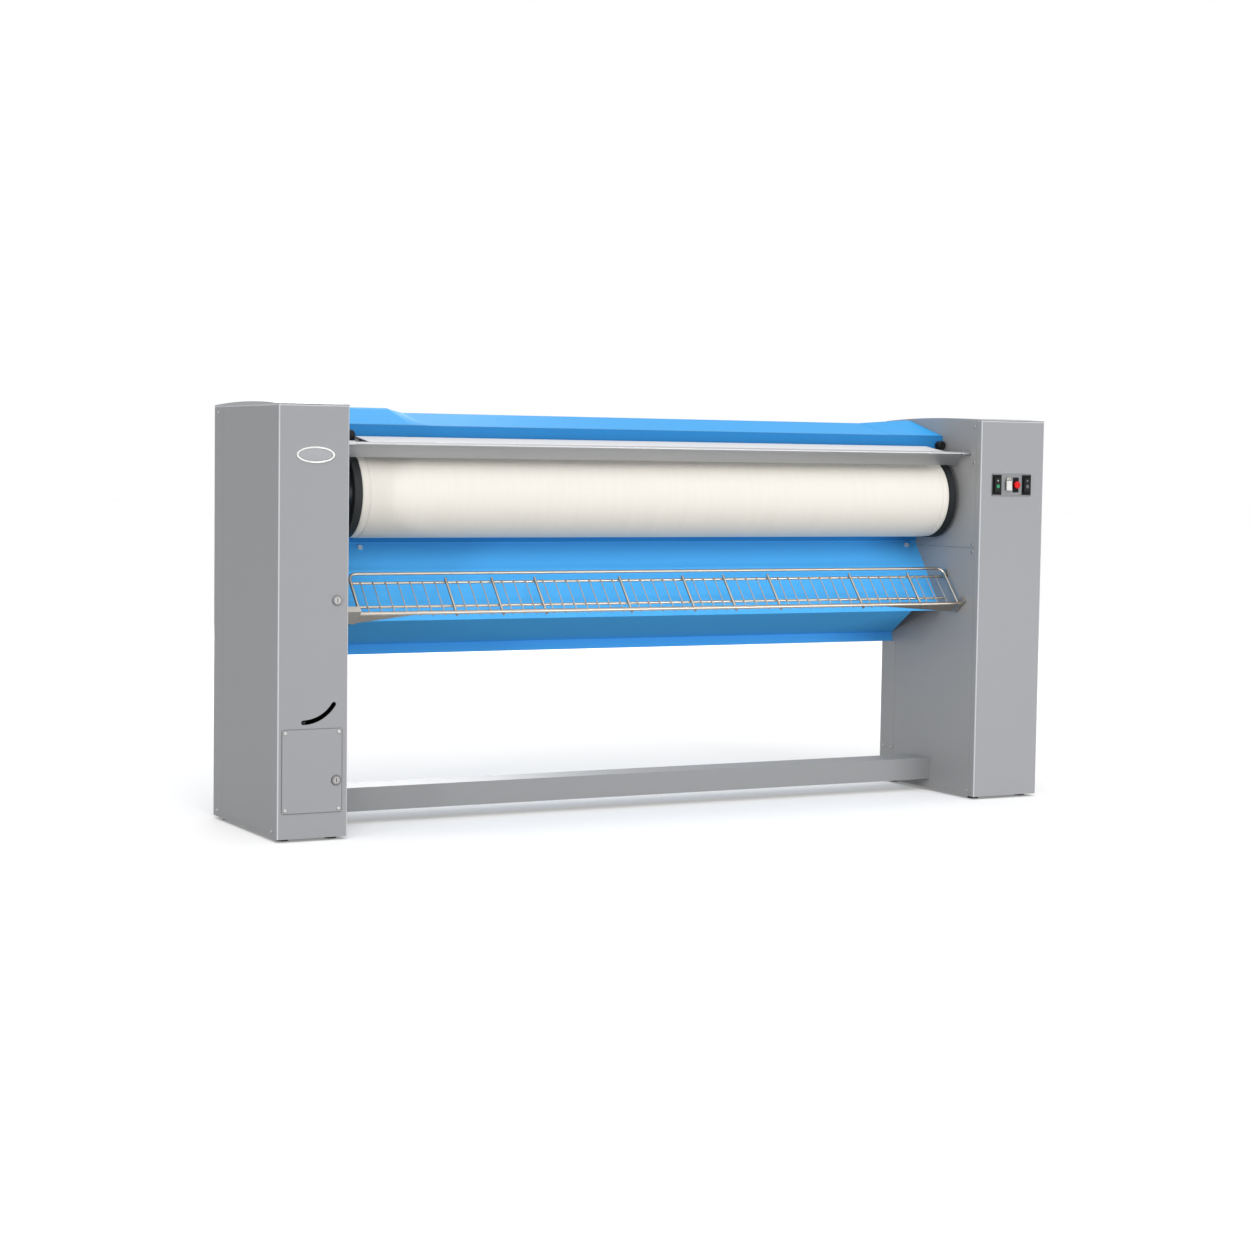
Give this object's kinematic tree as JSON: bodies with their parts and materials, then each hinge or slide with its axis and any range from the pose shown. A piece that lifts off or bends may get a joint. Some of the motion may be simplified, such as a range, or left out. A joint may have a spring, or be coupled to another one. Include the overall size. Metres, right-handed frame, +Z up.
{
  "type": "flatwork ironer",
  "caption": "Floor-standing flatwork ironer with two grey pedestals, a padded roller, blue hood and apron, finger guard and a folding wire linen rack.",
  "frame": {"origin": "on the floor, midway between the pedestals and midway between the front and rear extremes", "axes": "+X along the roller to the right as seen by the operator, +Y away from the operator, +Z up"},
  "size_m": [2.2404, 0.488, 1.05],
  "materials": {
    "casing_grey": "satin grey powder coat",
    "casing_top": "satin grey powder coat, lighter on top",
    "hood_blue": "satin blue powder coat",
    "frame_steel": "dark primer on structural steel",
    "stainless": "brushed stainless steel",
    "wire_stainless": "bright electropolished stainless wire",
    "bright_steel": "bright turned steel",
    "roller_steel": "turned steel",
    "roller_cloth": "warm white woven ironing cloth over padding",
    "ring_black": "black rubber",
    "chest_aluminium": "polished aluminium",
    "element_steel": "heat-tinted steel sheath",
    "cast_grey": "painted cast iron",
    "motor_paint": "dark machine enamel",
    "chain_steel": "oiled chain steel",
    "spring_steel": "spring steel",
    "foot_black": "black rubber foot pads",
    "knob_black": "black moulded plastic",
    "switch_black": "black switch housing",
    "rocker_black": "black rocker",
    "button_white": "white push button",
    "button_red": "red mushroom button",
    "gland_grey": "grey polyamide gland",
    "box_grey": "light grey enclosure"
  },
  "bodies": {
    "machine_frame": {"pedestal_bases": "frame_steel", "levelling_feet": "foot_black", "left_side_frame": "frame_steel", "right_side_frame": "frame_steel", "left_cover": "casing_grey", "right_cover": "casing_grey", "left_rear_cover": "casing_grey", "right_rear_cover": "casing_grey", "left_inner_panel": "casing_grey", "right_upper_inner_panel": "casing_grey", "right_lower_inner_panel": "casing_grey", "left_top_cap": "casing_top", "right_top_cap": "casing_top", "stretcher_beam": "casing_grey", "access_plate": "casing_grey", "casing_screws": "bright_steel", "lock_bezels": "bright_steel", "badge_frame": "bright_steel", "gearmotor": "motor_paint", "motor_stand": "frame_steel", "drive_chain": "chain_steel", "roller_bearings": "cast_grey", "chest_pivot_pins": "bright_steel", "press_springs": "spring_steel", "release_brackets": "frame_steel", "hood_hinge_pin": "bright_steel", "rear_panel": "hood_blue", "hood_catches": "frame_steel", "apron": "hood_blue", "apron_screws": "bright_steel", "feed_table": "stainless", "table_brackets": "frame_steel", "guard_pivots": "stainless", "rack_brackets": "stainless", "control_plate": "stainless", "switch_frames": "switch_black", "control_box": "box_grey", "cable_gland": "gland_grey"},
    "roller": {"roller_tube": "roller_steel", "roller_padding": "roller_cloth", "roller_end_rings": "ring_black", "roller_sprocket": "chain_steel"},
    "motor_output": {"motor_sprocket": "chain_steel"},
    "chest_assembly": {"chest": "chest_aluminium", "heating_elements": "element_steel", "chest_arms": "frame_steel"},
    "push_rod": {"push_rod": "bright_steel"},
    "release_lever": {"release_lever": "bright_steel"},
    "upper_lock": {"upper_lock_plug": "bright_steel"},
    "lower_lock": {"lower_lock_plug": "bright_steel"},
    "hood": {"hood": "hood_blue", "hood_end_caps": "hood_blue"},
    "left_knob": {"left_hood_knob": "knob_black"},
    "right_knob": {"right_hood_knob": "knob_black"},
    "finger_guard": {"finger_guard": "stainless"},
    "linen_rack": {"linen_rack": "wire_stainless"},
    "mains_rocker": {"mains_rocker": "rocker_black"},
    "heat_rocker": {"heat_rocker": "rocker_black"},
    "start_button": {"start_button": "button_white"},
    "stop_button": {"stop_button": "button_red"}
  },
  "joints": [
    {"name": "roller_spin", "type": "hinge", "parent": "machine_frame", "child": "roller", "pos_m": [0, -0.028, 0.8295], "axis": [1, 0, 0], "continuous": true},
    {"name": "motor_output_spin", "type": "hinge", "parent": "machine_frame", "child": "motor_output", "pos_m": [-1.089, -0.028, 0.19], "axis": [1, 0, 0], "continuous": true},
    {"name": "chest_swing", "type": "hinge", "parent": "machine_frame", "child": "chest_assembly", "pos_m": [0, -0.002, 0.59], "axis": [-1, 0, 0], "range_deg": [0, 4], "stiffness_Nm_per_rad": 120, "springref_deg": -20.05},
    {"name": "push_rod_lift", "type": "slide", "parent": "machine_frame", "child": "push_rod", "axis": [0, 0, 1], "range_m": [0, 0.00801]},
    {"name": "release_lever_swing", "type": "hinge", "parent": "machine_frame", "child": "release_lever", "pos_m": [-1.053, -0.172, 0.378], "axis": [0, -1, 0], "range_deg": [0, 57.05]},
    {"name": "upper_lock_turn", "type": "hinge", "parent": "machine_frame", "child": "upper_lock", "pos_m": [-0.9695, -0.222, 0.577], "axis": [0, -1, 0], "range_deg": [0, 90]},
    {"name": "lower_lock_turn", "type": "hinge", "parent": "machine_frame", "child": "lower_lock", "pos_m": [-0.9695, -0.222, 0.145], "axis": [0, -1, 0], "range_deg": [0, 90]},
    {"name": "hood_lift", "type": "hinge", "parent": "machine_frame", "child": "hood", "pos_m": [0, 0.181, 1.006], "axis": [-1, 0, 0], "range_deg": [0, 60]},
    {"name": "left_knob_turn", "type": "hinge", "parent": "hood", "child": "left_knob", "pos_m": [-0.874, -0.062, 0.973], "axis": [0, -1, 0], "range_deg": [0, 90]},
    {"name": "right_knob_turn", "type": "hinge", "parent": "hood", "child": "right_knob", "pos_m": [0.887, -0.062, 0.973], "axis": [0, -1, 0], "range_deg": [0, 90]},
    {"name": "finger_guard_tilt", "type": "hinge", "parent": "machine_frame", "child": "finger_guard", "pos_m": [0, -0.18, 0.952], "axis": [1, 0, 0], "range_deg": [0, 8]},
    {"name": "linen_rack_fold", "type": "hinge", "parent": "machine_frame", "child": "linen_rack", "pos_m": [0, -0.16, 0.5385], "axis": [1, 0, 0], "range_deg": [0, 90]},
    {"name": "mains_rocker_tilt", "type": "hinge", "parent": "machine_frame", "child": "mains_rocker", "pos_m": [0.95925, -0.23, 0.867], "axis": [1, 0, 0], "range_deg": [-6, 6]},
    {"name": "heat_rocker_tilt", "type": "hinge", "parent": "machine_frame", "child": "heat_rocker", "pos_m": [1.05875, -0.23, 0.867], "axis": [1, 0, 0], "range_deg": [-6, 6]},
    {"name": "start_button_press", "type": "slide", "parent": "machine_frame", "child": "start_button", "axis": [0, 1, 0], "range_m": [0, 0.003], "stiffness_N_per_m": 400},
    {"name": "stop_button_press", "type": "slide", "parent": "machine_frame", "child": "stop_button", "axis": [0, 1, 0], "range_m": [0, 0.004], "stiffness_N_per_m": 600}
  ],
  "couplings": [
    {"joint": "motor_output_spin", "follows": "roller_spin", "ratio": 2.3333},
    {"joint": "push_rod_lift", "follows": "chest_swing", "m_per_rad": 0.11459},
    {"joint": "release_lever_swing", "follows": "chest_swing", "ratio": 14.25}
  ]
}
